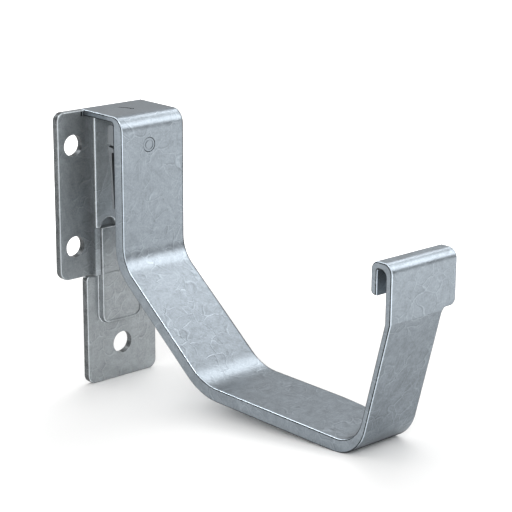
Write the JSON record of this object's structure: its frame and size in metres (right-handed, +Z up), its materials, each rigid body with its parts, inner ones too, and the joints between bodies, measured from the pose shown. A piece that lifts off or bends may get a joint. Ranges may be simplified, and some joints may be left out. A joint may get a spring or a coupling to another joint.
{
  "type": "gutter bracket",
  "caption": "Bent flat-bar bracket that carries a box gutter: a wall flange, a sloping brace, a level cradle and a leaning front arm that ends in a folded hook, on sheet wall plates.",
  "frame": {"origin": "on the wall face, at the bar's centre line, level with the top of its flange", "axes": "+Z up, -Y out from the wall along the bracket's reach, +X along the wall towards the side without screw wing"},
  "size_m": [0.0464, 0.165, 0.1114],
  "materials": {
    "bar_zinc": "hot-dip galvanised, faint spangle",
    "sheet_zinc": "galvanised sheet, faint spangle",
    "spring_steel": "zinc plated",
    "rivet_steel": "zinc plated, flush set"
  },
  "bodies": {
    "root": {"strap": "bar_zinc", "upper_plate": "sheet_zinc", "lower_plate": "sheet_zinc", "spring_clip": "spring_steel", "leg_rivet": "rivet_steel"}
  },
  "joints": []
}
